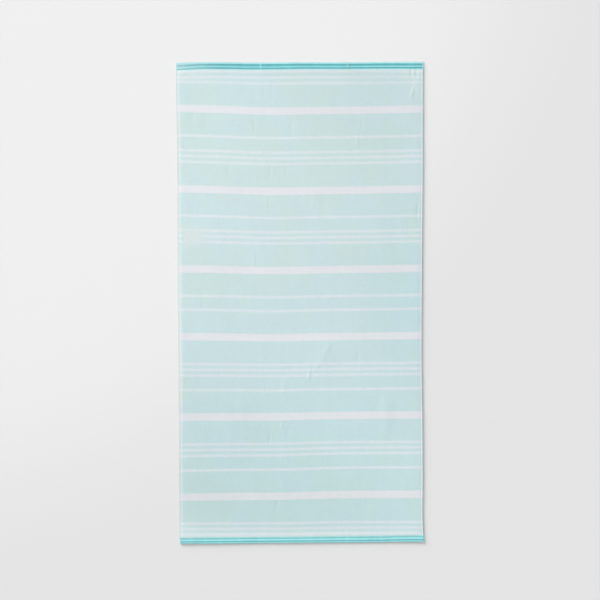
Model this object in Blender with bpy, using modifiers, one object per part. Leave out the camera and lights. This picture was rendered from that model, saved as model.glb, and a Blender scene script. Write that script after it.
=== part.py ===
"""A beach towel laid out flat: one length of woven cotton terry, with a narrow hem turned along each
side and a deeper, coloured hem turned across each end.

X runs across the towel, Y up its length and Z out of its upper face. The origin is on the surface that
the towel lies on, at the middle of its outline's box. Sizes are in metres.
"""

import math
from collections import namedtuple

import bmesh
import bpy
import numpy as np

# The towel's finished size
WIDTH = 0.915
LENGTH = 1.800
PILE_THICKNESS = 0.0042  # the ground weave with the loops of both faces
HEM_THICKNESS = 0.0040  # the folded edge, which has no pile
SIDE_HEM = 0.009
END_HEM = 0.027

# The cells of the sheet's grid. The outermost at each edge is its hem
COLUMNS = 40
ROWS = 78

# The cloth's colour and finish
AQUA = (0.60, 0.77, 0.78, 1.0)
ROUGHNESS = 0.95

# How far the long edges stand out past the finished width (in from it below zero), in rows at shares of
# the length, from the foot to the head
SideRow = namedtuple("SideRow", "up left right")
SIDE_EDGES = (
    SideRow(0.00, -0.0068, 0.0036),
    SideRow(0.04, -0.0053, 0.0003),
    SideRow(0.13, -0.0038, 0.0004),
    SideRow(0.26, -0.0027, -0.0008),
    SideRow(0.38, -0.0016, -0.0036),
    SideRow(0.50, 0.0012, -0.0030),
    SideRow(0.63, 0.0021, -0.0014),
    SideRow(0.76, 0.0029, 0.0004),
    SideRow(0.86, 0.0050, 0.0006),
    SideRow(0.93, 0.0074, 0.0006),
    SideRow(1.00, 0.0081, 0.0012),
)

# How far the ends stand out past the finished length, in rows at shares of the width, from left to right
EndRow = namedtuple("EndRow", "across foot head")
END_EDGES = (
    EndRow(0.00, 0.0020, -0.0035),
    EndRow(0.15, 0.0010, -0.0015),
    EndRow(0.34, -0.0005, -0.0030),
    EndRow(0.50, -0.0015, -0.0015),
    EndRow(0.68, -0.0025, -0.0020),
    EndRow(0.88, -0.0040, 0.0000),
    EndRow(1.00, -0.0040, -0.0005),
)

# The soft rises where the cloth stands off the surface: the middle of each from the towel's own middle,
# the way it runs in degrees from across, its length and breadth, and how high its underside lifts
Rise = namedtuple("Rise", "across up heading length breadth height")
RISES = (
    Rise(0.460, 0.760, 90, 1.00, 0.22, 0.0016),
    Rise(0.460, 0.260, 90, 1.00, 0.20, 0.0013),
    Rise(0.460, -0.240, 90, 1.00, 0.20, 0.0015),
    Rise(0.460, -0.740, 90, 1.00, 0.22, 0.0018),
    Rise(0.400, -0.905, 0, 0.36, 0.18, 0.0010),
    Rise(0.180, -0.905, 0, 0.60, 0.18, 0.0013),
    Rise(-0.120, -0.905, 0, 0.60, 0.18, 0.0015),
    Rise(-0.420, -0.905, 0, 0.60, 0.20, 0.0024),
    Rise(-0.460, -0.250, 90, 0.56, 0.20, 0.0010),
    Rise(-0.460, 0.620, 90, 0.40, 0.20, 0.0010),
    Rise(-0.150, 0.890, 90, 0.16, 0.12, 0.0008),
    Rise(0.173, 0.890, 90, 0.16, 0.12, 0.0008),
    Rise(0.090, -0.215, 62, 0.30, 0.14, 0.0008),
)


def clear_scene():
    for thing in list(bpy.data.objects):
        bpy.data.objects.remove(thing, do_unlink=True)


def smooth_between(rows, column, share):
    """A column's value at a share of the way along its table, on a smooth curve through the rows."""
    places = np.array([row[0] for row in rows])
    values = np.array([getattr(row, column) for row in rows])
    slopes = np.gradient(values, places)
    k = int(np.clip(np.searchsorted(places, share) - 1, 0, len(rows) - 2))
    gap = places[k + 1] - places[k]
    t = (share - places[k]) / gap
    return (
        (1 + 2 * t) * (1 - t) ** 2 * values[k]
        + t * (1 - t) ** 2 * gap * slopes[k]
        + t**2 * (3 - 2 * t) * values[k + 1]
        - t**2 * (1 - t) * gap * slopes[k + 1]
    )


def rounded(t):
    """A smooth hump: 1 in the middle, level at both ends and nothing past them, where t is -1 and 1."""
    return max(0.0, 1.0 - t * t) ** 2


def lift(x, y):
    """How far the underside stands off the surface."""
    height = 0.0
    for rise in RISES:
        heading = math.radians(rise.heading)
        dx, dy = x - rise.across, y - rise.up
        along = dx * math.cos(heading) + dy * math.sin(heading)
        aside = dy * math.cos(heading) - dx * math.sin(heading)
        hump = rounded(2 * along / rise.length) * rounded(2 * aside / rise.breadth)
        height += rise.height * hump
    return height


def grid_lines(span, hem, cells):
    """Where the grid's lines cross a span: at both ends, at each hem's seam, and evenly between the seams."""
    return [0.0, *np.linspace(hem, span - hem, cells - 1), span]


def place(across, up):
    """The underside's point at these distances from the left edge and the foot of the finished cloth."""
    u, v = across / WIDTH, up / LENGTH
    left = smooth_between(SIDE_EDGES, "left", v)
    right = smooth_between(SIDE_EDGES, "right", v)
    foot = smooth_between(END_EDGES, "foot", u)
    head = smooth_between(END_EDGES, "head", u)
    x = across - WIDTH / 2 - (1 - u) * left + u * right
    y = up - LENGTH / 2 - (1 - v) * foot + v * head
    return x, y, lift(x, y)


def underside_mesh():
    """The underside of the cloth, an open sheet centred on the origin."""
    columns = grid_lines(WIDTH, SIDE_HEM, COLUMNS)
    rows = grid_lines(LENGTH, END_HEM, ROWS)
    sheet = bmesh.new()
    bmesh.ops.create_grid(sheet, x_segments=COLUMNS, y_segments=ROWS, size=0.5)
    for vert in sheet.verts:
        column = round((vert.co.x + 0.5) * COLUMNS)
        row = round((vert.co.y + 0.5) * ROWS)
        vert.co = place(columns[column], rows[row])
    xs = [vert.co.x for vert in sheet.verts]
    ys = [vert.co.y for vert in sheet.verts]
    to_middle = (-(min(xs) + max(xs)) / 2, -(min(ys) + max(ys)) / 2, 0.0)
    bmesh.ops.translate(sheet, verts=sheet.verts, vec=to_middle)
    mesh = bpy.data.meshes.new("towel")
    sheet.to_mesh(mesh)
    sheet.free()
    return mesh


def pile_vertices(mesh):
    """The points of the sheet that lie inside its outer edge, where the cloth has its full thickness."""
    uses = {}
    for polygon in mesh.polygons:
        for key in polygon.edge_keys:
            uses[key] = uses.get(key, 0) + 1
    outer = {vertex for key, count in uses.items() if count == 1 for vertex in key}
    return [vertex.index for vertex in mesh.vertices if vertex.index not in outer]


def terry_cloth():
    material = bpy.data.materials.new("terry_cloth")
    material.use_nodes = True
    shader = material.node_tree.nodes["Principled BSDF"]
    shader.inputs["Base Color"].default_value = AQUA
    shader.inputs["Roughness"].default_value = ROUGHNESS
    shader.inputs["Metallic"].default_value = 0.0
    return material


def towel(collection):
    """The towel: the sheet of its underside, given the thickness of pile or hem upwards."""
    mesh = underside_mesh()
    mesh.materials.append(terry_cloth())
    cloth = bpy.data.objects.new("towel", mesh)
    collection.objects.link(cloth)
    pile = cloth.vertex_groups.new(name="pile")
    pile.add(pile_vertices(mesh), 1.0, "REPLACE")
    body = cloth.modifiers.new("pile and ground", "SOLIDIFY")
    body.thickness = PILE_THICKNESS
    body.offset = 1.0
    body.vertex_group = pile.name
    body.thickness_vertex_group = HEM_THICKNESS / PILE_THICKNESS
    mesh.shade_smooth()
    mesh.set_sharp_from_angle(angle=math.radians(40))
    return cloth


clear_scene()
beach_towel = bpy.data.collections.new("beach_towel")
bpy.context.scene.collection.children.link(beach_towel)
towel(beach_towel)
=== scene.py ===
"""The looks of a beach towel laid out flat: striped cotton terry with a narrow hem down each side, a
deeper, teal hem across each end, and the thread that the hems are sewn with. Sizes are in metres."""

import math
from collections import namedtuple

import bpy
import numpy as np
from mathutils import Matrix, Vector, noise


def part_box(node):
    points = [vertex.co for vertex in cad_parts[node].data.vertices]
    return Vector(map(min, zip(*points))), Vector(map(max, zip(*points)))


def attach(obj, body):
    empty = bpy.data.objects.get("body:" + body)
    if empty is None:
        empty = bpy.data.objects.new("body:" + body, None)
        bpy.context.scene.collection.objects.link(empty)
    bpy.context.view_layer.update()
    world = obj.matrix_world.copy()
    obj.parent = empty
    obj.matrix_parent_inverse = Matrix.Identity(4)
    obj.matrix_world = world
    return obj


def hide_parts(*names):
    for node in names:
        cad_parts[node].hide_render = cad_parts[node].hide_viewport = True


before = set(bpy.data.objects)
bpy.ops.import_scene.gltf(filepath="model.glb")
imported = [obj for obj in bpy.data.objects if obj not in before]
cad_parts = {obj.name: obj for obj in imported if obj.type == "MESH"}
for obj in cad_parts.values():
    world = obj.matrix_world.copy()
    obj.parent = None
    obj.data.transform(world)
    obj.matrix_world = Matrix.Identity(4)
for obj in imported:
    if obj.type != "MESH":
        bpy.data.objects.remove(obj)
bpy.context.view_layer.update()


# ---- The cloth: its outline and the way it lies --------------------------------------------------------
# One length of cotton terry, woven on a wide loom and cut off at its end bands. It was washed, so its
# edges are no longer straight, and it was smoothed out by hand, which left soft rises, a bowed weft and
# a few faint creases.

WIDTH = 0.915
LENGTH = 1.800

# How far the long edges stand out past the finished width, in rows at shares of the length from the
# foot up
SideRow = namedtuple("SideRow", "up left right")
SIDE_EDGES = (
    SideRow(0.00, -0.0068, 0.0036),
    SideRow(0.04, -0.0053, 0.0003),
    SideRow(0.13, -0.0038, 0.0004),
    SideRow(0.26, -0.0027, -0.0008),
    SideRow(0.38, -0.0016, -0.0036),
    SideRow(0.50, 0.0012, -0.0030),
    SideRow(0.63, 0.0021, -0.0014),
    SideRow(0.76, 0.0029, 0.0004),
    SideRow(0.86, 0.0050, 0.0006),
    SideRow(0.93, 0.0074, 0.0006),
    SideRow(1.00, 0.0081, 0.0012),
)

# How far the ends stand out past the finished length, in rows at shares of the width from left to right
EndRow = namedtuple("EndRow", "across foot head")
END_EDGES = (
    EndRow(0.00, 0.0020, -0.0035),
    EndRow(0.15, 0.0010, -0.0015),
    EndRow(0.34, -0.0005, -0.0030),
    EndRow(0.50, -0.0015, -0.0015),
    EndRow(0.68, -0.0025, -0.0020),
    EndRow(0.88, -0.0040, 0.0000),
    EndRow(1.00, -0.0040, -0.0005),
)

# How the weft is bowed, at distances up from the middle of the cloth: how far it stands up at its middle,
# how much further at both sides, and how much higher it is at its right end than at its left
WeftRow = namedtuple("WeftRow", "up middle sides tilt")
WEFT = (
    WeftRow(-0.90, 0.0000, 0.0000, 0.0000),
    WeftRow(-0.88, 0.0000, 0.0008, 0.0020),
    WeftRow(-0.84, -0.0018, 0.0012, 0.0014),
    WeftRow(-0.72, -0.0012, 0.0004, 0.0072),
    WeftRow(-0.60, -0.0014, 0.0006, 0.0090),
    WeftRow(-0.42, -0.0019, 0.0016, 0.0044),
    WeftRow(-0.25, -0.0036, 0.0042, 0.0018),
    WeftRow(0.00, -0.0039, 0.0068, 0.0006),
    WeftRow(0.30, -0.0049, 0.0086, -0.0030),
    WeftRow(0.55, -0.0050, 0.0098, -0.0030),
    WeftRow(0.70, -0.0028, 0.0090, -0.0048),
    WeftRow(0.81, -0.0024, 0.0074, -0.0044),
    WeftRow(0.85, 0.0004, -0.0004, -0.0010),
    WeftRow(0.88, -0.0002, -0.0002, 0.0004),
    WeftRow(0.90, 0.0000, 0.0000, 0.0000),
)

# The warp is slacker in some places than in others, which moves the weft up or down there, at distances
# across from the middle of the cloth
WarpRow = namedtuple("WarpRow", "across up")
WARP = (
    WarpRow(-0.46, 0.0000),
    WarpRow(-0.25, -0.0003),
    WarpRow(-0.04, -0.0011),
    WarpRow(0.05, 0.0006),
    WarpRow(0.16, 0.0014),
    WarpRow(0.28, 0.0000),
    WarpRow(0.39, -0.0012),
    WarpRow(0.46, -0.0010),
)

# The soft rises where the cloth stands off the surface, and the faint creases in its upper face: the
# middle of each from the towel's own middle, the way it runs in degrees from across, its length and
# breadth, and its height, below zero for a trough
Fold = namedtuple("Fold", "across up heading length breadth height")
RISES = (
    Fold(0.460, 0.760, 90, 1.00, 0.22, 0.0016),
    Fold(0.460, 0.260, 90, 1.00, 0.20, 0.0013),
    Fold(0.460, -0.240, 90, 1.00, 0.20, 0.0015),
    Fold(0.460, -0.740, 90, 1.00, 0.22, 0.0018),
    Fold(0.400, -0.905, 0, 0.36, 0.18, 0.0010),
    Fold(0.180, -0.905, 0, 0.60, 0.18, 0.0013),
    Fold(-0.120, -0.905, 0, 0.60, 0.18, 0.0015),
    Fold(-0.420, -0.905, 0, 0.60, 0.20, 0.0024),
    Fold(-0.460, -0.250, 90, 0.56, 0.20, 0.0010),
    Fold(-0.460, 0.620, 90, 0.40, 0.20, 0.0010),
    Fold(-0.150, 0.890, 90, 0.16, 0.12, 0.0008),
    Fold(0.173, 0.890, 90, 0.16, 0.12, 0.0008),
    Fold(0.090, -0.215, 62, 0.30, 0.14, 0.0008),
)
CREASES = (
    Fold(-0.173, 0.664, 90, 0.070, 0.014, -0.00100),
    Fold(-0.222, 0.632, 88, 0.040, 0.012, -0.00076),
    Fold(-0.034, 0.650, 92, 0.080, 0.019, -0.00106),
    Fold(-0.026, 0.563, 90, 0.040, 0.014, -0.00085),
    Fold(0.230, 0.664, 90, 0.060, 0.013, -0.00100),
    Fold(0.211, 0.601, 91, 0.120, 0.014, 0.00066),
    Fold(-0.268, 0.505, 84, 0.050, 0.015, -0.00106),
    Fold(-0.240, 0.495, 90, 0.050, 0.030, 0.00071),
    Fold(-0.114, 0.491, 90, 0.044, 0.013, -0.00100),
    Fold(-0.089, 0.488, 96, 0.034, 0.013, -0.00081),
    Fold(-0.055, 0.492, 86, 0.040, 0.013, -0.00090),
    Fold(-0.128, 0.364, 90, 0.110, 0.013, 0.00081),
    Fold(0.050, 0.380, 78, 0.066, 0.016, 0.00095),
    Fold(0.088, 0.360, 100, 0.060, 0.034, -0.00095),
    Fold(-0.174, 0.164, 89, 0.070, 0.013, 0.00114),
    Fold(-0.148, 0.208, 90, 0.060, 0.044, 0.00106),
    Fold(-0.219, 0.089, 90, 0.034, 0.013, -0.00095),
    Fold(-0.383, 0.679, 80, 0.080, 0.050, 0.00095),
    Fold(0.436, 0.340, 88, 0.110, 0.015, -0.00106),
    Fold(0.094, -0.184, 60, 0.100, 0.026, 0.00088),
    Fold(0.062, -0.236, 48, 0.060, 0.019, 0.00095),
    Fold(0.215, -0.203, 88, 0.060, 0.013, -0.00085),
    Fold(0.032, -0.268, 84, 0.060, 0.015, 0.00119),
    Fold(-0.060, -0.310, 82, 0.090, 0.034, 0.00106),
    Fold(-0.129, -0.312, 90, 0.040, 0.014, -0.00085),
    Fold(-0.070, -0.460, 90, 0.028, 0.012, 0.00143),
    Fold(-0.116, -0.505, 86, 0.032, 0.012, -0.00143),
    Fold(-0.047, -0.476, 94, 0.050, 0.030, -0.00095),
    Fold(0.323, -0.400, 90, 0.220, 0.070, 0.00119),
    Fold(-0.088, -0.756, 92, 0.050, 0.017, -0.00085),
    Fold(0.031, -0.697, 2, 0.070, 0.019, 0.00119),
    Fold(0.417, 0.783, 68, 0.050, 0.018, 0.00170),
    Fold(0.413, 0.862, 92, 0.050, 0.014, -0.00170),
    Fold(0.432, 0.860, 88, 0.046, 0.014, -0.00140),
    Fold(-0.440, 0.858, 8, 0.070, 0.020, 0.00152),
    Fold(-0.436, 0.828, -6, 0.060, 0.020, 0.00133),
    Fold(-0.145, 0.888, 90, 0.050, 0.012, 0.00152),
    Fold(0.178, 0.888, 90, 0.050, 0.012, 0.00133),
)

# Where the weft is pulled down at the left end of the head's hem, and up at the right end of the foot's.
# The height of these is how far the weft moves up the cloth
PULLS = (
    Fold(-0.458, 0.878, 0, 0.176, 0.044, -0.0042),
    Fold(0.420, -0.884, 0, 0.260, 0.044, 0.0024),
)

# Soft patches where the pile is lighter or darker (light: in the first four, painted light and shade that
# evens out how the lamps fall across the towel; in the small ones, single stripes and spots made lighter
# or darker), where it is paler (below zero its stripes are duller), and where it took up more or less dye
# or leans to green
Patch = namedtuple("Patch", "across up heading length breadth light pale dye green")
PATCHES = (
    # The first four patches are painted light and shade: darker at the upper right, lighter at the left and
    # across the lower half, to even out how the lamps fall across the towel
    Patch(0.260, 0.740, 100, 0.90, 0.90, -0.045, 0.00, 0.000, 0.00),
    Patch(-0.420, 0.560, 90, 1.10, 0.60, 0.025, 0.00, 0.000, 0.00),
    Patch(0.160, -0.380, 96, 1.20, 1.00, 0.060, 0.00, 0.000, 0.00),
    Patch(0.420, -0.760, 90, 0.90, 0.60, 0.035, 0.00, 0.000, 0.00),
    Patch(-0.200, 0.450, 90, 1.20, 1.20, 0.000, 0.00, -0.020, 0.35),
    Patch(0.000, -0.720, 0, 2.40, 1.10, 0.000, 0.00, 0.045, 0.00),
    Patch(0.050, -0.220, 0, 1.60, 0.70, 0.000, 0.00, 0.000, -0.60),
    Patch(0.400, 0.050, 90, 0.90, 0.40, 0.000, 0.00, 0.035, 0.00),
    Patch(-0.458, -0.180, 90, 1.50, 0.050, 0.000, 0.85, 0.000, 0.00),
    Patch(-0.410, 0.848, 0, 0.240, 0.120, 0.010, 0.50, 0.000, 0.00),
    Patch(0.320, 0.846, 0, 0.480, 0.110, -0.015, -0.35, 0.000, 0.00),
    Patch(0.000, -0.867, 0, 3.00, 0.036, 0.065, 0.50, 0.000, 0.00),
    Patch(-0.150, 0.868, 0, 1.40, 0.070, -0.035, -0.10, 0.000, 0.00),
    Patch(-0.240, 0.822, 0, 0.50, 0.050, 0.000, -0.25, 0.000, 0.00),
    Patch(-0.456, 0.889, 0, 0.560, 0.056, 0.000, 0.26, 0.000, 0.00),
    Patch(-0.458, 0.889, 0, 0.110, 0.056, 0.000, 0.32, 0.000, 0.00),
    Patch(0.457, 0.885, 90, 0.080, 0.014, 0.000, 0.80, 0.000, 0.00),
    Patch(0.424, 0.812, 78, 0.090, 0.034, 0.020, 0.40, 0.000, 0.00),
    # Painted highlights: the two puckers in the head's hem are painted paler where they rise
    Patch(-0.145, 0.886, 90, 0.050, 0.012, 0.000, 0.40, 0.000, 0.00),
    Patch(0.178, 0.886, 90, 0.050, 0.014, 0.000, 0.35, 0.000, 0.00),
    Patch(-0.404, 0.246, 0, 0.170, 0.100, 0.025, -1.20, -0.120, 0.00),
    Patch(-0.440, -0.840, 0, 0.180, 0.180, 0.030, 0.15, 0.000, 0.00),
)

# How high a hemmed edge stands, at distances in from its fold. These are also the grid's lines there
HemLine = namedtuple("HemLine", "inside height")
SIDE_HEM = (
    HemLine(0.0000, 0.0014),
    HemLine(0.0003, 0.0028),
    HemLine(0.0010, 0.0036),
    HemLine(0.0026, 0.0040),
    HemLine(0.0048, 0.0040),
    HemLine(0.0062, 0.0037),
    HemLine(0.0070, 0.0035),
    HemLine(0.0078, 0.0036),
    HemLine(0.0090, 0.0039),
    HemLine(0.0108, 0.0042),
    HemLine(0.0150, 0.0044),
)
HEAD_HEM = (
    HemLine(0.0000, 0.0014),
    HemLine(0.0003, 0.0027),
    HemLine(0.0010, 0.0035),
    HemLine(0.0040, 0.0040),
    HemLine(0.0080, 0.0039),
    HemLine(0.0104, 0.0031),
    HemLine(0.0116, 0.0027),
    HemLine(0.0128, 0.0031),
    HemLine(0.0150, 0.0039),
    HemLine(0.0174, 0.0042),
    HemLine(0.0200, 0.0038),
    HemLine(0.0218, 0.0030),
    HemLine(0.0228, 0.0026),
    HemLine(0.0238, 0.0030),
    HemLine(0.0254, 0.0035),
    HemLine(0.0272, 0.0037),
    HemLine(0.0296, 0.0041),
    HemLine(0.0346, 0.0044),
)
FOOT_HEM = (
    HemLine(0.0000, 0.0014),
    HemLine(0.0003, 0.0027),
    HemLine(0.0010, 0.0034),
    HemLine(0.0030, 0.0038),
    HemLine(0.0050, 0.0037),
    HemLine(0.0063, 0.0031),
    HemLine(0.0072, 0.0027),
    HemLine(0.0081, 0.0031),
    HemLine(0.0100, 0.0038),
    HemLine(0.0130, 0.0042),
    HemLine(0.0156, 0.0038),
    HemLine(0.0174, 0.0032),
    HemLine(0.0184, 0.0029),
    HemLine(0.0194, 0.0032),
    HemLine(0.0214, 0.0037),
    HemLine(0.0256, 0.0039),
    HemLine(0.0284, 0.0041),
    HemLine(0.0334, 0.0044),
)
SIDE_FOLD_LINES = 5  # of the side hem's lines, outside its seam
SIDE_HEM_DEPTH = 0.0090
HEAD_HEM_DEPTH = 0.0272
FOOT_HEM_DEPTH = 0.0256
SIDE_SEAM = 0.0070
HEAD_SEAMS = (0.0116, 0.0228)
FOOT_SEAMS = (0.0072, 0.0184)

# The grid's cells between the hems, narrow enough across for creases that run up the cloth. The underside
# has every second column
CELL_ACROSS = 0.0028
CELL_UP = 0.0110
SLACK_FADE = 0.1  # how far from the ends the slack of the warp starts to fade
PILE_RISE = 0.02  # how far inside the hems the pile reaches its full unevenness

# The gentle ups and downs of the upper face: the size of their waves across and up the cloth, their height
# and the seed of their noise
Waves = namedtuple("Waves", "across up height seed")
PILE_WAVES = Waves(0.110, 0.160, 0.00035, 3.0)
BRUSHED_WAVES = Waves(0.020, 0.110, 0.00022, 11.0)
HEM_PUCKER = Waves(0.020, 0.020, 0.00045, 23.0)


def smooth_between(rows, column, shares):
    """A column's values at places along its table, on a smooth curve through the rows."""
    places = np.array([row[0] for row in rows])
    values = np.array([getattr(row, column) for row in rows])
    slopes = np.gradient(values, places)
    k = np.clip(np.searchsorted(places, shares) - 1, 0, len(rows) - 2)
    gap = places[k + 1] - places[k]
    t = (shares - places[k]) / gap
    return (
        (1 + 2 * t) * (1 - t) ** 2 * values[k]
        + t * (1 - t) ** 2 * gap * slopes[k]
        + t**2 * (3 - 2 * t) * values[k + 1]
        - t**2 * (1 - t) * gap * slopes[k + 1]
    )


def hump(fold, x, y):
    """1 at the middle of a fold, falling smoothly to nothing at its ends and sides."""
    heading = math.radians(fold.heading)
    dx, dy = x - fold.across, y - fold.up
    along = (dx * math.cos(heading) + dy * math.sin(heading)) / (fold.length / 2)
    aside = (dy * math.cos(heading) - dx * math.sin(heading)) / (fold.breadth / 2)
    return np.maximum(0, 1 - along**2) ** 2 * np.maximum(0, 1 - aside**2) ** 2


def total(folds, x, y):
    """The height of all the folds together."""
    return np.sum([fold.height * hump(fold, x, y) for fold in folds], axis=0)


def uneven(waves, x, y):
    """The waves' height at points of the cloth."""
    across, up, seed = x.ravel() / waves.across, y.ravel() / waves.up, waves.seed
    heights = [noise.noise(Vector((a, b, seed))) for a, b in zip(across, up)]
    return waves.height * np.array(heights).reshape(x.shape)


def laid_out(across, up):
    """Where points of the cloth lie, seen from above, by their distances from its left edge and foot."""
    u, v = across / WIDTH, up / LENGTH
    x = across - WIDTH / 2
    x = x - (1 - u) * smooth_between(SIDE_EDGES, "left", v) + u * smooth_between(SIDE_EDGES, "right", v)
    y = up - LENGTH / 2
    side = 2 * u - 1
    middle, sides, tilt = (smooth_between(WEFT, column, y) for column in ("middle", "sides", "tilt"))
    y = y - (1 - v) * smooth_between(END_EDGES, "foot", u) + v * smooth_between(END_EDGES, "head", u)
    away = np.clip((LENGTH / 2 - np.abs(y)) / SLACK_FADE, 0, 1)
    slack = smooth_between(WARP, "up", side * WIDTH / 2) * away
    return x, y + middle + sides * side**2 + tilt * side / 2 + slack + total(PULLS, x, y)


def hem_height(lines, inside):
    """How high a hemmed edge stands at distances in from its fold."""
    return np.interp(inside, [line.inside for line in lines], [line.height for line in lines])


def thickness(across, up):
    """How thick the cloth is: full where it has pile, and rounded, pressed and sewn down at its hems."""
    from_side = np.minimum(across, WIDTH - across)
    end = np.minimum(hem_height(FOOT_HEM, up), hem_height(HEAD_HEM, LENGTH - up))
    in_end_hem = (up < FOOT_HEM_DEPTH) | (up > LENGTH - HEAD_HEM_DEPTH)
    unsewn = hem_height(SIDE_HEM[:SIDE_FOLD_LINES], from_side)
    side = np.where(in_end_hem, unsewn, hem_height(SIDE_HEM, from_side))
    return np.minimum(side, end)


def pile_share(across, up):
    """0 on the hems and 1 on the pile a little way inside them."""
    from_side = np.minimum(across, WIDTH - across) - SIDE_HEM_DEPTH
    from_end = np.minimum(up - FOOT_HEM_DEPTH, LENGTH - HEAD_HEM_DEPTH - up)
    return np.clip(np.minimum(from_side, from_end) / PILE_RISE, 0, 1)


# The outline is moved so that its box has the same middle as the plain towel's
RIM = 200
rim_across = np.concatenate([np.linspace(0, WIDTH, RIM)] * 2 + [np.zeros(RIM), np.full(RIM, WIDTH)])
rim_up = np.concatenate([np.zeros(RIM), np.full(RIM, LENGTH)] + [np.linspace(0, LENGTH, RIM)] * 2)
rim_x, rim_y = laid_out(rim_across, rim_up)
towel_low, towel_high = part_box("towel")
shift_x = (towel_low[0] + towel_high[0] - rim_x.min() - rim_x.max()) / 2
shift_y = (towel_low[1] + towel_high[1] - rim_y.min() - rim_y.max()) / 2


def cloth_points(across, up):
    """x and y of points of the cloth, and z of its underside and its upper face there."""
    x, y = laid_out(across, up)
    under = total(RISES, x, y)
    crease = total(CREASES, x, y)
    pile = pile_share(across, up)
    nap = (uneven(PILE_WAVES, x, y) + uneven(BRUSHED_WAVES, x, y)) * pile
    pucker = uneven(HEM_PUCKER, x, y) * (1 - pile)
    upper = under + thickness(across, up) + crease + nap + pucker
    return x + shift_x, y + shift_y, under, upper


def grid_lines(span, near_hem, far_hem, cell):
    """The grid's lines across a span: the hems' own at its edges, and an odd number, evenly, between."""
    near = [line.inside for line in near_hem]
    far = [span - line.inside for line in reversed(far_hem)]
    count = 2 * round((far[0] - near[-1]) / cell / 2)
    return np.array([*near, *np.linspace(near[-1], far[0], count + 1)[1:-1], *far])


def patch_values(column, across, up):
    """The patches' values in one column, added up at points of the cloth."""
    x, y = across - WIDTH / 2, up - LENGTH / 2
    return np.sum([getattr(patch, column) * hump(patch, x, y) for patch in PATCHES], axis=0)


def cloth_faces(wide, long, kept):
    """The faces of both sides of the cloth and of its edges, as lists of points."""
    top = np.arange(wide * long).reshape(long, wide)
    bottom = wide * long + np.arange(len(kept) * long).reshape(long, len(kept))
    faces = []
    for row in range(long - 1):
        low, high = top[row], top[row + 1]
        faces += np.stack([low[:-1], low[1:], high[1:], high[:-1]], axis=-1).tolist()
        low, high = bottom[row], bottom[row + 1]
        faces += np.stack([low[:-1], high[:-1], high[1:], low[1:]], axis=-1).tolist()
        faces.append([top[row, 0], top[row + 1, 0], bottom[row + 1, 0], bottom[row, 0]])
        faces.append([top[row, -1], bottom[row, -1], bottom[row + 1, -1], top[row + 1, -1]])
    for k in range(len(kept) - 1):
        span = np.arange(kept[k], kept[k + 1] + 1)
        faces.append([*top[0, span][::-1], bottom[0, k], bottom[0, k + 1]])
        faces.append([*top[-1, span], bottom[-1, k + 1], bottom[-1, k]])
    return [[int(point) for point in face] for face in faces]


def finishes(mesh, places):
    """Each face's material: 0 on the pile, 1 on a side hem and 2 on an end hem."""
    starts = np.empty(len(mesh.polygons), dtype=np.int32)
    mesh.polygons.foreach_get("loop_start", starts)
    sizes = np.diff([*starts, len(places)])
    middles = np.add.reduceat(places, starts) / sizes[:, None]
    from_side = np.minimum(middles[:, 0], WIDTH - middles[:, 0])
    in_end_hem = (middles[:, 1] < FOOT_HEM_DEPTH) | (middles[:, 1] > LENGTH - HEAD_HEM_DEPTH)
    return np.where(in_end_hem, 2, np.where(from_side < SIDE_HEM_DEPTH, 1, 0))


def cloth_mesh():
    """The whole cloth as one closed surface, with UVs that are distances from its left edge and foot."""
    columns = grid_lines(WIDTH, SIDE_HEM, SIDE_HEM, CELL_ACROSS)
    rows = grid_lines(LENGTH, FOOT_HEM, HEAD_HEM, CELL_UP)
    wide, long = len(columns), len(rows)
    hem = len(SIDE_HEM) - 1
    kept = np.array([*range(hem), *range(hem, wide - hem, 2), *range(wide - hem, wide)])
    across, up = np.meshgrid(columns, rows)
    x, y, under, upper = cloth_points(across, up)
    points = np.concatenate([
        np.stack([x, y, upper], axis=-1).reshape(-1, 3),
        np.stack([x, y, under], axis=-1)[:, kept].reshape(-1, 3),
    ])
    places = np.stack([across, up], axis=-1)
    places = np.concatenate([places.reshape(-1, 2), places[:, kept].reshape(-1, 2)])
    mesh = bpy.data.meshes.new("cloth")
    mesh.from_pydata(points.tolist(), [], cloth_faces(wide, long, kept))
    loops = np.empty(len(mesh.loops), dtype=np.int32)
    mesh.loops.foreach_get("vertex_index", loops)
    mesh.uv_layers.new(name="cloth").data.foreach_set("uv", places[loops].astype(np.float32).ravel())
    mesh.polygons.foreach_set("material_index", finishes(mesh, places[loops]).astype(np.int32))
    for column in ("light", "pale", "dye", "green"):
        values = patch_values(column, places[:, 0], places[:, 1])
        mesh.attributes.new(column, "FLOAT", "POINT").data.foreach_set("value", values.astype(np.float32))
    mesh.shade_smooth()
    mesh.update()
    return mesh


cloth = bpy.data.objects.new("terry_cloth", cloth_mesh())
bpy.context.scene.collection.objects.link(cloth)
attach(cloth, "root")
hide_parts("towel")


# ---- The pile: aqua terry with white stripes -----------------------------------------------------------
# The pile is loops of soft cotton yarn, a little under 2 mm apart. The ground is pale aqua, and undyed
# white yarn makes the stripes: broad ones, single fine ones and fine ones in threes, the same from the
# middle of the towel to either end.

AQUA = (0.595, 0.755, 0.768, 1.0)
WHITE = (0.770, 0.795, 0.835, 1.0)
FINE_WHITE = (0.750, 0.815, 0.850, 1.0)
PALE = (0.735, 0.825, 0.812, 1.0)
REPEAT = 0.2974
BROAD_STRIPE = 0.1257  # places in the repeat, outwards from the middle
FINE_STRIPES = (0.0258, 0.2269, 0.2480, 0.2691)
BROAD_BREADTH = 0.0280
FINE_BREADTH = 0.0098
FINE_WHITENESS = 0.79
STRIPE_EDGE = 0.0034
STRIPE_WOBBLE = 0.0030
EDGE_PALENESS = 0.45
LOOPS_ACROSS = 0.0019
LOOPS_UP = 0.0016


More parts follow.
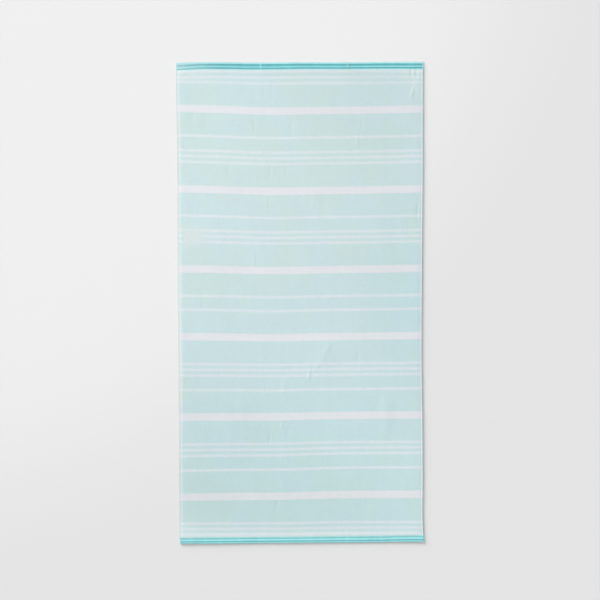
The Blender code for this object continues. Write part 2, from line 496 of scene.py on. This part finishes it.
def new_group(name, inputs, outputs):
    """A shader node group with these sockets, as its tree and its input and output nodes."""
    tree = bpy.data.node_groups.new(name, "ShaderNodeTree")
    for socket, kind, value in inputs:
        made = tree.interface.new_socket(socket, in_out="INPUT", socket_type=kind)
        if value is not None:
            made.default_value = value
    for socket, kind in outputs:
        tree.interface.new_socket(socket, in_out="OUTPUT", socket_type=kind)
    return tree, tree.nodes.new("NodeGroupInput"), tree.nodes.new("NodeGroupOutput")


def feed(tree, value, socket):
    """Links an output to a socket, or sets a plain value on it."""
    if isinstance(value, bpy.types.NodeSocket):
        tree.links.new(value, socket)
    else:
        socket.default_value = value


def maths(tree, operation, *values):
    node = tree.nodes.new("ShaderNodeMath")
    node.operation = operation
    for value, socket in zip(values, node.inputs):
        feed(tree, value, socket)
    return node.outputs[0]


def vector_maths(tree, operation, *values):
    node = tree.nodes.new("ShaderNodeVectorMath")
    node.operation = operation
    for value, socket in zip(values, node.inputs):
        feed(tree, value, socket)
    return node.outputs[0]


def ramp(tree, value, low, high, to_low=0.0, to_high=1.0):
    """value eased from one range to another."""
    node = tree.nodes.new("ShaderNodeMapRange")
    node.interpolation_type = "SMOOTHSTEP"
    for given, socket in zip((value, low, high, to_low, to_high), node.inputs):
        feed(tree, given, socket)
    return node.outputs[0]


def blend(tree, share, first, second, kind="MIX"):
    """A mix of two colours."""
    node = tree.nodes.new("ShaderNodeMix")
    node.data_type = "RGBA"
    node.blend_type = kind
    feed(tree, share, node.inputs["Factor"])
    feed(tree, first, node.inputs["A"])
    feed(tree, second, node.inputs["B"])
    return node.outputs["Result"]


def cloudy(tree, vector, scale, detail=2.0):
    """Soft noise over a vector, from 0 to 1."""
    node = tree.nodes.new("ShaderNodeTexNoise")
    node.inputs["Scale"].default_value = scale
    node.inputs["Detail"].default_value = detail
    feed(tree, vector, node.inputs["Vector"])
    return node.outputs["Fac"]


def place_group(tree, group, **values):
    """A group in a tree, with these of its inputs set."""
    node = tree.nodes.new("ShaderNodeGroup")
    node.node_tree = group
    for name, value in values.items():
        feed(tree, value, node.inputs[name])
    return node


def terry_loops_group():
    """Loops of yarn in staggered rows. It gives each loop's middle on the cloth, the loops' height and a
    value that differs from loop to loop."""
    tree, given, made = new_group(
        "Terry loops",
        [("Place", "NodeSocketVector", None), ("Across", "NodeSocketFloat", LOOPS_ACROSS),
         ("Up", "NodeSocketFloat", LOOPS_UP)],
        [("Middle", "NodeSocketVector"), ("Height", "NodeSocketFloat"), ("Lot", "NodeSocketFloat")],
    )
    pitch = tree.nodes.new("ShaderNodeCombineXYZ")
    feed(tree, given.outputs["Across"], pitch.inputs["X"])
    feed(tree, given.outputs["Up"], pitch.inputs["Y"])
    pitch.inputs["Z"].default_value = 1.0
    counted = vector_maths(tree, "DIVIDE", given.outputs["Place"], pitch.outputs[0])
    cells = tree.nodes.new("ShaderNodeTexVoronoi")
    cells.voronoi_dimensions = "2D"
    cells.inputs["Scale"].default_value = 1.0
    cells.inputs["Randomness"].default_value = 0.55
    feed(tree, counted, cells.inputs["Vector"])
    middle = vector_maths(tree, "MULTIPLY", cells.outputs["Position"], pitch.outputs[0])
    feed(tree, middle, made.inputs["Middle"])
    feed(tree, ramp(tree, cells.outputs["Distance"], 0.05, 0.75, 1.0, 0.0), made.inputs["Height"])
    lot = tree.nodes.new("ShaderNodeSeparateColor")
    feed(tree, cells.outputs["Color"], lot.inputs["Color"])
    feed(tree, lot.outputs["Red"], made.inputs["Lot"])
    return tree


def cross_stripes_group():
    """How white the cloth is with its broad and its fine stripes, by their places out from its middle."""
    tree, given, made = new_group(
        "Cross stripes",
        [("Place", "NodeSocketVector", None), ("Repeat", "NodeSocketFloat", REPEAT),
         ("Soft edge", "NodeSocketFloat", STRIPE_EDGE)],
        [("Broad", "NodeSocketFloat"), ("Fine", "NodeSocketFloat")],
    )
    split = tree.nodes.new("ShaderNodeSeparateXYZ")
    feed(tree, given.outputs["Place"], split.inputs[0])
    wobble = cloudy(tree, vector_maths(tree, "MULTIPLY", given.outputs["Place"], (60.0, 220.0, 1.0)), 1.0)
    wobble = maths(tree, "MULTIPLY", maths(tree, "SUBTRACT", wobble, 0.5), STRIPE_WOBBLE)
    out = maths(tree, "ABSOLUTE", maths(tree, "SUBTRACT", split.outputs["Y"], LENGTH / 2))
    out = maths(tree, "FLOORED_MODULO", maths(tree, "ADD", out, wobble), given.outputs["Repeat"])
    for kind, places, breadth, whiteness in (("Broad", [BROAD_STRIPE], BROAD_BREADTH, 1.0),
                                             ("Fine", FINE_STRIPES, FINE_BREADTH, FINE_WHITENESS)):
        far = maths(tree, "ADD", given.outputs["Soft edge"], breadth / 2)
        near = maths(tree, "SUBTRACT", breadth / 2, given.outputs["Soft edge"])
        white = 0.0
        for stripe in places:
            aside = maths(tree, "ABSOLUTE", maths(tree, "SUBTRACT", out, stripe))
            white = maths(tree, "MAXIMUM", white, ramp(tree, aside, near, far, whiteness, 0.0))
        feed(tree, white, made.inputs[kind])
    return tree


def nap_group():
    """Where the pile is brushed lighter and darker, in long faint streaks up the cloth and soft clouds,
    and where its dye leans to green."""
    tree, given, made = new_group(
        "Nap",
        [("Place", "NodeSocketVector", None), ("Depth", "NodeSocketFloat", 0.04)],
        [("Shade", "NodeSocketFloat"), ("Green", "NodeSocketFloat")],
    )
    place = given.outputs["Place"]
    streaks = cloudy(tree, vector_maths(tree, "MULTIPLY", place, (38.0, 6.0, 1.0)), 1.0, 3.0)
    clouds = cloudy(tree, vector_maths(tree, "MULTIPLY", place, (9.0, 7.0, 1.0)), 1.0, 2.0)
    both = maths(tree, "SUBTRACT", maths(tree, "ADD", streaks, clouds), 1.0)
    feed(tree, maths(tree, "MULTIPLY_ADD", both, given.outputs["Depth"], 1.0), made.inputs["Shade"])
    moved = vector_maths(tree, "MULTIPLY_ADD", place, (6.5, 3.8, 1.0), (3.0, 7.0, 0.0))
    leaning = cloudy(tree, moved, 1.0, 3.0)
    feed(tree, ramp(tree, leaning, 0.35, 0.65), made.inputs["Green"])
    return tree


TERRY_LOOPS = terry_loops_group()
CROSS_STRIPES = cross_stripes_group()
NAP = nap_group()


def new_cloth_material(name, roughness, sheen):
    """A cloth material's tree, its shader and the UV places on the cloth."""
    material = bpy.data.materials.new(name)
    material.use_nodes = True
    tree = material.node_tree
    shader = tree.nodes["Principled BSDF"]
    shader.inputs["Roughness"].default_value = roughness
    shader.inputs["Specular IOR Level"].default_value = 0.2
    shader.inputs["Sheen Weight"].default_value = sheen
    shader.inputs["Sheen Roughness"].default_value = 0.6
    uv = tree.nodes.new("ShaderNodeUVMap")
    uv.uv_map = "cloth"
    return material, tree, shader, uv.outputs["UV"]


def bumped(tree, shader, height, distance, strength):
    """Gives the shader the relief of this height."""
    bump = tree.nodes.new("ShaderNodeBump")
    bump.inputs["Distance"].default_value = distance
    bump.inputs["Strength"].default_value = strength
    feed(tree, height, bump.inputs["Height"])
    feed(tree, bump.outputs["Normal"], shader.inputs["Normal"])


def grey(tree, value):
    """A value as a colour."""
    node = tree.nodes.new("ShaderNodeCombineColor")
    for socket in node.inputs:
        feed(tree, value, socket)
    return node.outputs[0]


def attribute(tree, name):
    """The value that the mesh holds under this name."""
    node = tree.nodes.new("ShaderNodeAttribute")
    node.attribute_name = name
    return node.outputs["Fac"]


def edge_fade_group():
    """How near the cloth's side edges are, from 1 at an edge to 0 a little way in."""
    tree, given, made = new_group(
        "Edge fade",
        [("Place", "NodeSocketVector", None), ("From", "NodeSocketFloat", 0.004),
         ("To", "NodeSocketFloat", 0.018)],
        [("Near", "NodeSocketFloat")],
    )
    split = tree.nodes.new("ShaderNodeSeparateXYZ")
    feed(tree, given.outputs["Place"], split.inputs[0])
    inside = maths(tree, "MINIMUM", split.outputs["X"], maths(tree, "SUBTRACT", WIDTH, split.outputs["X"]))
    near = ramp(tree, inside, given.outputs["From"], given.outputs["To"], 1.0, 0.0)
    feed(tree, near, made.inputs["Near"])
    return tree


EDGE_FADE = edge_fade_group()


def dyed(tree, colour, green):
    """A colour with more or less of the dye, and leaning to green by this share and the cloth's own."""
    lean = tree.nodes.new("ShaderNodeCombineColor")
    feed(tree, maths(tree, "SUBTRACT", 1.0, attribute(tree, "dye")), lean.inputs["Red"])
    lean.inputs["Green"].default_value = 1.0
    green = maths(tree, "ADD", green, attribute(tree, "green"))
    feed(tree, ramp(tree, green, 0.0, 1.0, 1.018, 0.974), lean.inputs["Blue"])
    return blend(tree, 1.0, colour, lean.outputs[0], "MULTIPLY")


def striped_terry():
    """The pile. Its stripes are dulled where the cloth's paleness is below zero."""
    material, tree, shader, place = new_cloth_material("striped_terry", roughness=0.92, sheen=0.10)
    loops = place_group(tree, TERRY_LOOPS, Place=place)
    stripes = place_group(tree, CROSS_STRIPES, Place=loops.outputs["Middle"])
    nap = place_group(tree, NAP, Place=place)
    edge = place_group(tree, EDGE_FADE, Place=place)
    pale = attribute(tree, "pale")
    dulled = maths(tree, "ADD", 1.0, maths(tree, "MINIMUM", pale, 0.0))
    broad = maths(tree, "MULTIPLY", stripes.outputs["Broad"], dulled)
    fine = maths(tree, "MULTIPLY", stripes.outputs["Fine"], dulled)
    ground = dyed(tree, AQUA, nap.outputs["Green"])
    softened = maths(tree, "MAXIMUM", maths(tree, "MULTIPLY", edge.outputs["Near"], EDGE_PALENESS), pale)
    colour = blend(tree, softened, ground, PALE)
    colour = blend(tree, broad, colour, WHITE)
    colour = blend(tree, fine, colour, FINE_WHITE)
    # Each loop's own tone, lighter or darker at random
    loop_tone_and_painted_fold_shade = ramp(tree, loops.outputs["Lot"], 0.0, 1.0, 0.96, 1.02)
    # Painted shade between the loops: darker where a loop is low
    deep = ramp(tree, loops.outputs["Height"], 0.0, 0.6, 0.90, 1.0)
    shade = maths(tree, "MULTIPLY", maths(tree, "MULTIPLY", loop_tone_and_painted_fold_shade, deep), nap.outputs["Shade"])
    # The patches' light: painted light and shade over large areas, and single stripes and spots made
    # lighter or darker
    shade = maths(tree, "MULTIPLY", shade, maths(tree, "ADD", 1.0, attribute(tree, "light")))
    colour = blend(tree, 1.0, colour, grey(tree, shade), "MULTIPLY")
    feed(tree, colour, shader.inputs["Base Color"])
    bumped(tree, shader, loops.outputs["Height"], distance=0.0006, strength=0.5)
    return material


# ---- The hems: flat weave, turned under ----------------------------------------------------------------
# The long edges are woven flat and paler, with the stripes running into them. Each end is a flat band of
# teal and bright aqua weft with a deeper teal line where each row of stitching runs.

HEAD_AQUA = (0.33, 0.76, 0.79, 1.0)
FOOT_AQUA = (0.37, 0.83, 0.85, 1.0)
DEEP_TEAL = (0.13, 0.46, 0.50, 1.0)
PALE_AQUA = (0.55, 0.78, 0.80, 1.0)
BandLine = namedtuple("BandLine", "end inside breadth depth")  # depth is how deep its colour is
BAND_LINES = (
    BandLine("head", 0.0115, 0.0104, 0.96),
    BandLine("head", 0.0234, 0.0074, 0.92),
    BandLine("foot", 0.0072, 0.0062, 0.68),
    BandLine("foot", 0.0184, 0.0056, 0.52),
)
HEAD_FOLD = 0.0070  # how far in the paler edge reaches
FOOT_FOLD = 0.0050
FOLD_PAINTED_SHADE = 0.66  # how much darker the fold is painted: painted shade where the rounded fold faces the key light
FOLD_REACH = 0.0042
HEM_PALENESS = 0.4
INNER_EDGE = (0.020, 0.027)  # where the foot's band turns paler again, next to the pile
THREADS = 0.0009


def plain_weave_group():
    """A flat weave: its threads' height, and a shade that is darker between them."""
    tree, given, made = new_group(
        "Plain weave",
        [("Place", "NodeSocketVector", None), ("Threads", "NodeSocketFloat", THREADS)],
        [("Height", "NodeSocketFloat"), ("Shade", "NodeSocketFloat")],
    )
    split = tree.nodes.new("ShaderNodeSeparateXYZ")
    feed(tree, given.outputs["Place"], split.inputs[0])
    turns = maths(tree, "DIVIDE", math.pi, given.outputs["Threads"])
    across = maths(tree, "SINE", maths(tree, "MULTIPLY", split.outputs["X"], turns))
    up = maths(tree, "SINE", maths(tree, "MULTIPLY", split.outputs["Y"], turns))
    over = maths(tree, "MULTIPLY", across, up)
    height = maths(tree, "MULTIPLY_ADD", over, 0.5, 0.5)
    feed(tree, height, made.inputs["Height"])
    feed(tree, ramp(tree, height, 0.0, 1.0, 0.93, 1.03), made.inputs["Shade"])
    return tree


PLAIN_WEAVE = plain_weave_group()


def side_hem_weave():
    """The flat weave of the long edges, with the stripes running into it and painted shade on its fold."""
    material, tree, shader, place = new_cloth_material("side_hem_weave", roughness=0.85, sheen=0.05)
    weave = place_group(tree, PLAIN_WEAVE, Place=place)
    stripes = place_group(tree, CROSS_STRIPES, Place=place)
    nap = place_group(tree, NAP, Place=place)
    fold = place_group(tree, EDGE_FADE, Place=place, From=0.0, To=FOLD_REACH)
    ground = dyed(tree, AQUA, nap.outputs["Green"])
    colour = blend(tree, maths(tree, "MAXIMUM", attribute(tree, "pale"), HEM_PALENESS), ground, PALE)
    colour = blend(tree, stripes.outputs["Broad"], colour, WHITE)
    colour = blend(tree, stripes.outputs["Fine"], colour, FINE_WHITE)
    # Painted shade on the rounded fold, which faces the key light
    loop_tone_and_painted_fold_shade = ramp(tree, fold.outputs["Near"], 0.0, 1.0, 1.0, FOLD_PAINTED_SHADE)
    # The patches' light: painted light and shade over large areas
    lit = maths(tree, "ADD", 1.0, attribute(tree, "light"))
    shade = maths(tree, "MULTIPLY", maths(tree, "MULTIPLY", weave.outputs["Shade"], lit), loop_tone_and_painted_fold_shade)
    colour = blend(tree, 1.0, colour, grey(tree, shade), "MULTIPLY")
    feed(tree, colour, shader.inputs["Base Color"])
    bumped(tree, shader, weave.outputs["Height"], distance=0.0003, strength=0.5)
    return material


def teal_band():
    """The woven band at each end. Its deeper lines lie under the stitching, and it is paler at its fold,
    with painted shade on the fold's outer edge.
    """
    material, tree, shader, place = new_cloth_material("teal_band", roughness=0.80, sheen=0.05)
    weave = place_group(tree, PLAIN_WEAVE, Place=place)
    nap = place_group(tree, NAP, Place=place, Depth=0.20)
    split = tree.nodes.new("ShaderNodeSeparateXYZ")
    feed(tree, place, split.inputs[0])
    up = split.outputs["Y"]
    down = maths(tree, "SUBTRACT", LENGTH, up)
    at_foot = maths(tree, "LESS_THAN", up, LENGTH / 2)
    deep = 0.0
    for line in BAND_LINES:
        inside = down if line.end == "head" else up
        aside = maths(tree, "ABSOLUTE", maths(tree, "SUBTRACT", inside, line.inside))
        shown = ramp(tree, aside, line.breadth * 0.2, line.breadth * 0.7, line.depth, 0.0)
        deep = maths(tree, "MAXIMUM", deep, shown)
    head_edge = ramp(tree, down, 0.0, HEAD_FOLD, 1.0, 0.0)
    foot_edge = ramp(tree, up, 0.0, FOOT_FOLD, 0.6, 0.0)
    inner_edge = maths(tree, "MULTIPLY", ramp(tree, up, *INNER_EDGE, 0.0, 0.8), at_foot)
    light = maths(tree, "MAXIMUM", maths(tree, "MAXIMUM", head_edge, foot_edge), inner_edge)
    light = maths(tree, "MAXIMUM", light, attribute(tree, "pale"))
    bright = blend(tree, at_foot, HEAD_AQUA, FOOT_AQUA)
    colour = blend(tree, light, blend(tree, deep, bright, DEEP_TEAL), PALE_AQUA)
    # Painted shade on the rounded fold at each end, which faces the key light
    loop_tone_and_painted_fold_shade = ramp(tree, maths(tree, "MINIMUM", up, down), 0.0, FOLD_REACH, FOLD_PAINTED_SHADE, 1.0)
    shade = maths(tree, "MULTIPLY", weave.outputs["Shade"], nap.outputs["Shade"])
    shade = maths(tree, "MULTIPLY", shade, loop_tone_and_painted_fold_shade)
    colour = blend(tree, 1.0, colour, grey(tree, shade), "MULTIPLY")
    feed(tree, colour, shader.inputs["Base Color"])
    bumped(tree, shader, weave.outputs["Height"], distance=0.0003, strength=0.5)
    return material


for material in (striped_terry(), side_hem_weave(), teal_band()):
    cloth.data.materials.append(material)


# ---- The sewing thread ---------------------------------------------------------------------------------
# Lockstitch in spun polyester thread: one row down each side hem in white, and two rows across each end
# hem in teal. Each stitch comes up out of one hole, lies along the cloth and goes down the next.

STITCH = 0.0030
THREAD = 0.00045
SEAM_STEP = 0.004  # between the points of a seam's path
SEAM_END = 0.004  # how far inside the side folds the end hems' seams stop
Seam = namedtuple("Seam", "start end")  # from and to these distances across and up the cloth


def stitches_tree():
    """Geometry Nodes that lay stitches along a path, each a bow of thread with its ends in the cloth."""
    tree = bpy.data.node_groups.new("Lockstitch", "GeometryNodeTree")
    face = tree.interface
    face.new_socket("Path", in_out="INPUT", socket_type="NodeSocketGeometry")
    for name, value in (("Stitch", STITCH), ("Gap", 0.0005), ("Thread", THREAD), ("Rise", 0.00035)):
        face.new_socket(name, in_out="INPUT", socket_type="NodeSocketFloat").default_value = value
    face.new_socket("Finish", in_out="INPUT", socket_type="NodeSocketMaterial")
    face.new_socket("Stitches", in_out="OUTPUT", socket_type="NodeSocketGeometry")
    nodes, links = tree.nodes, tree.links
    given, made = nodes.new("NodeGroupInput"), nodes.new("NodeGroupOutput")

    evenly = nodes.new("GeometryNodeResampleCurve")
    evenly.mode = "LENGTH"
    links.new(given.outputs["Path"], evenly.inputs["Curve"])
    links.new(given.outputs["Stitch"], evenly.inputs["Length"])
    holes = nodes.new("GeometryNodeCurveToPoints")
    holes.mode = "EVALUATED"
    links.new(evenly.outputs[0], holes.inputs["Curve"])

    gap = maths(tree, "MULTIPLY", given.outputs["Gap"], -0.5)
    front = maths(tree, "MULTIPLY_ADD", given.outputs["Stitch"], 0.5, gap)
    back = maths(tree, "MULTIPLY", front, -1.0)
    crown = maths(tree, "MULTIPLY", given.outputs["Rise"], 2.0)
    sunk = -THREAD * 0.6
    bow = nodes.new("GeometryNodeCurveQuadraticBezier")
    bow.inputs["Resolution"].default_value = 5
    for socket, along, high in (("Start", back, sunk), ("End", front, sunk), ("Middle", 0.0, crown)):
        point = nodes.new("ShaderNodeCombineXYZ")
        feed(tree, along, point.inputs["X"])
        feed(tree, high, point.inputs["Z"])
        links.new(point.outputs[0], bow.inputs[socket])
    ring = nodes.new("GeometryNodeCurvePrimitiveCircle")
    ring.inputs["Resolution"].default_value = 6
    links.new(maths(tree, "MULTIPLY", given.outputs["Thread"], 0.5), ring.inputs["Radius"])
    stitch = nodes.new("GeometryNodeCurveToMesh")
    links.new(bow.outputs["Curve"], stitch.inputs["Curve"])
    links.new(ring.outputs["Curve"], stitch.inputs["Profile Curve"])
    stitch.inputs["Fill Caps"].default_value = True

    each = nodes.new("GeometryNodeInstanceOnPoints")
    links.new(holes.outputs["Points"], each.inputs["Points"])
    links.new(stitch.outputs["Mesh"], each.inputs["Instance"])
    aim = nodes.new("FunctionNodeAlignRotationToVector")
    aim.axis = "X"
    links.new(holes.outputs["Tangent"], aim.inputs["Vector"])
    links.new(aim.outputs["Rotation"], each.inputs["Rotation"])
    real = nodes.new("GeometryNodeRealizeInstances")
    links.new(each.outputs["Instances"], real.inputs["Geometry"])
    smooth = nodes.new("GeometryNodeSetShadeSmooth")
    links.new(real.outputs["Geometry"], smooth.inputs["Geometry"])
    finish = nodes.new("GeometryNodeSetMaterial")
    links.new(smooth.outputs["Geometry"], finish.inputs["Geometry"])
    links.new(given.outputs["Finish"], finish.inputs["Material"])
    links.new(finish.outputs["Geometry"], made.inputs["Stitches"])
    return tree


LOCKSTITCH = stitches_tree()


def seam_path(seams):
    """A curve with one line for each seam, on the upper face of the cloth."""
    curve = bpy.data.curves.new("seams", "CURVE")
    curve.dimensions = "3D"
    for seam in seams:
        span = math.dist(seam.start, seam.end)
        shares = np.linspace(0, 1, round(span / SEAM_STEP) + 1)
        across = seam.start[0] + shares * (seam.end[0] - seam.start[0])
        up = seam.start[1] + shares * (seam.end[1] - seam.start[1])
        x, y, _, upper = cloth_points(across, up)
        spline = curve.splines.new("POLY")
        spline.points.add(len(x) - 1)
        places = np.stack([x, y, upper + THREAD * 0.3, np.ones_like(x)], axis=-1)
        spline.points.foreach_set("co", places.astype(np.float32).ravel())
    return bpy.data.objects.new("seams", curve)


def spun_thread(name, colour):
    """Twisted thread: fine slanting strands across each stitch."""
    material = bpy.data.materials.new(name)
    material.use_nodes = True
    tree = material.node_tree
    shader = tree.nodes["Principled BSDF"]
    shader.inputs["Roughness"].default_value = 0.6
    shader.inputs["Sheen Weight"].default_value = 0.1
    where = tree.nodes.new("ShaderNodeTexCoord")
    strands = tree.nodes.new("ShaderNodeTexWave")
    strands.bands_direction = "DIAGONAL"
    strands.inputs["Scale"].default_value = 900.0
    strands.inputs["Distortion"].default_value = 1.0
    feed(tree, where.outputs["Object"], strands.inputs["Vector"])
    shade = ramp(tree, strands.outputs["Fac"], 0.0, 1.0, 0.85, 1.05)
    feed(tree, blend(tree, 1.0, colour, grey(tree, shade), "MULTIPLY"), shader.inputs["Base Color"])
    bumped(tree, shader, strands.outputs["Fac"], distance=0.0001, strength=0.5)
    return material


def sew(name, seams, finish):
    """Stitches along these seams, as one plain mesh."""
    path = seam_path(seams)
    bpy.context.scene.collection.objects.link(path)
    sewing = path.modifiers.new("Lockstitch", "NODES")
    sewing.node_group = LOCKSTITCH
    for item in LOCKSTITCH.interface.items_tree:
        if item.in_out == "INPUT" and item.name == "Finish":
            sewing[item.identifier] = finish
    graph = bpy.context.evaluated_depsgraph_get()
    mesh = bpy.data.meshes.new_from_object(path.evaluated_get(graph))
    bpy.data.objects.remove(path)
    stitches = bpy.data.objects.new(name, mesh)
    bpy.context.scene.collection.objects.link(stitches)
    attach(stitches, "root")
    return stitches


side_seams = [
    Seam((across, FOOT_HEM_DEPTH), (across, LENGTH - HEAD_HEM_DEPTH))
    for across in (SIDE_SEAM, WIDTH - SIDE_SEAM)
]
end_seams = [
    Seam((SEAM_END, up), (WIDTH - SEAM_END, up))
    for up in (*FOOT_SEAMS, *[LENGTH - seam for seam in HEAD_SEAMS])
]
side_stitches = sew("side_hem_stitches", side_seams, spun_thread("white_thread", (0.80, 0.83, 0.84, 1)))
end_stitches = sew("end_hem_stitches", end_seams, spun_thread("teal_thread", (0.14, 0.52, 0.56, 1)))


# ---- The studio ----------------------------------------------------------------------------------------
# A plain pale floor under soft light: a low key from the upper left, a fill from overhead, a pool of light
# that fades towards the lower right, and a pale sky. The camera is straight above the towel.

FLOOR_SIDE = 40.0
FLOOR_DROP = 0.0002  # the floor is this far below the towel
CAMERA_HEIGHT = 5.294
FRAME_MIDDLE = (0.0000, 0.0105)  # what the camera looks straight down on
KEY_ELEVATION = 20  # in degrees
KEY_HEADING = (-0.67, 0.74)
POOL_HEADING = (-0.673, 0.740)
POOL_AWAY = 2.5
POOL_HEIGHT = 8.0
POOL_RADIUS = 2.90  # of the light's circle on the floor


def stand(name, data):
    """A new object in the scene."""
    thing = bpy.data.objects.new(name, data)
    bpy.context.scene.collection.objects.link(thing)
    return thing


floor_mesh = bpy.data.meshes.new("floor")
half = FLOOR_SIDE / 2
corners = [(-half, -half, 0), (half, -half, 0), (half, half, 0), (-half, half, 0)]
floor_mesh.from_pydata(corners, [], [(0, 1, 2, 3)])
floor = stand("floor", floor_mesh)
floor.location.z = -FLOOR_DROP
paint = bpy.data.materials.new("pale_floor")
paint.use_nodes = True
paint_shader = paint.node_tree.nodes["Principled BSDF"]
paint_shader.inputs["Base Color"].default_value = (0.80, 0.80, 0.80, 1)
paint_shader.inputs["Roughness"].default_value = 1.0
paint_shader.inputs["Specular IOR Level"].default_value = 0.0
floor_mesh.materials.append(paint)

world = bpy.data.worlds.new("studio")
world.use_nodes = True
world.node_tree.nodes["Background"].inputs["Color"].default_value = (1, 1, 1, 1)
world.node_tree.nodes["Background"].inputs["Strength"].default_value = 0.420
bpy.context.scene.world = world

key = bpy.data.lights.new("key_light", "SUN")
key.energy = 2.95
key.angle = math.radians(30)
key_object = stand("key_light", key)
towards = Vector((*KEY_HEADING, math.tan(math.radians(KEY_ELEVATION))))
key_object.rotation_mode = "QUATERNION"
key_object.rotation_quaternion = towards.to_track_quat("Z", "Y")

overhead = bpy.data.lights.new("overhead_light", "SUN")
overhead.energy = 0.73
overhead.angle = math.radians(40)
stand("overhead_light", overhead)

pool = bpy.data.lights.new("pool_light", "SPOT")
pool.energy = 300
pool.spot_size = 2 * math.atan2(POOL_RADIUS, POOL_HEIGHT)
pool.spot_blend = 0.42
pool.shadow_soft_size = 0.30
pool_object = stand("pool_light", pool)
pool_object.location = (POOL_HEADING[0] * POOL_AWAY, POOL_HEADING[1] * POOL_AWAY, POOL_HEIGHT)

camera = bpy.data.cameras.new("studio_camera")
camera.lens = 85
camera.sensor_width = 36
camera.clip_end = 100
camera_object = stand("studio_camera", camera)
camera_object.location = (*FRAME_MIDDLE, CAMERA_HEIGHT)
bpy.context.scene.camera = camera_object
bpy.context.scene.view_settings.view_transform = "Standard"
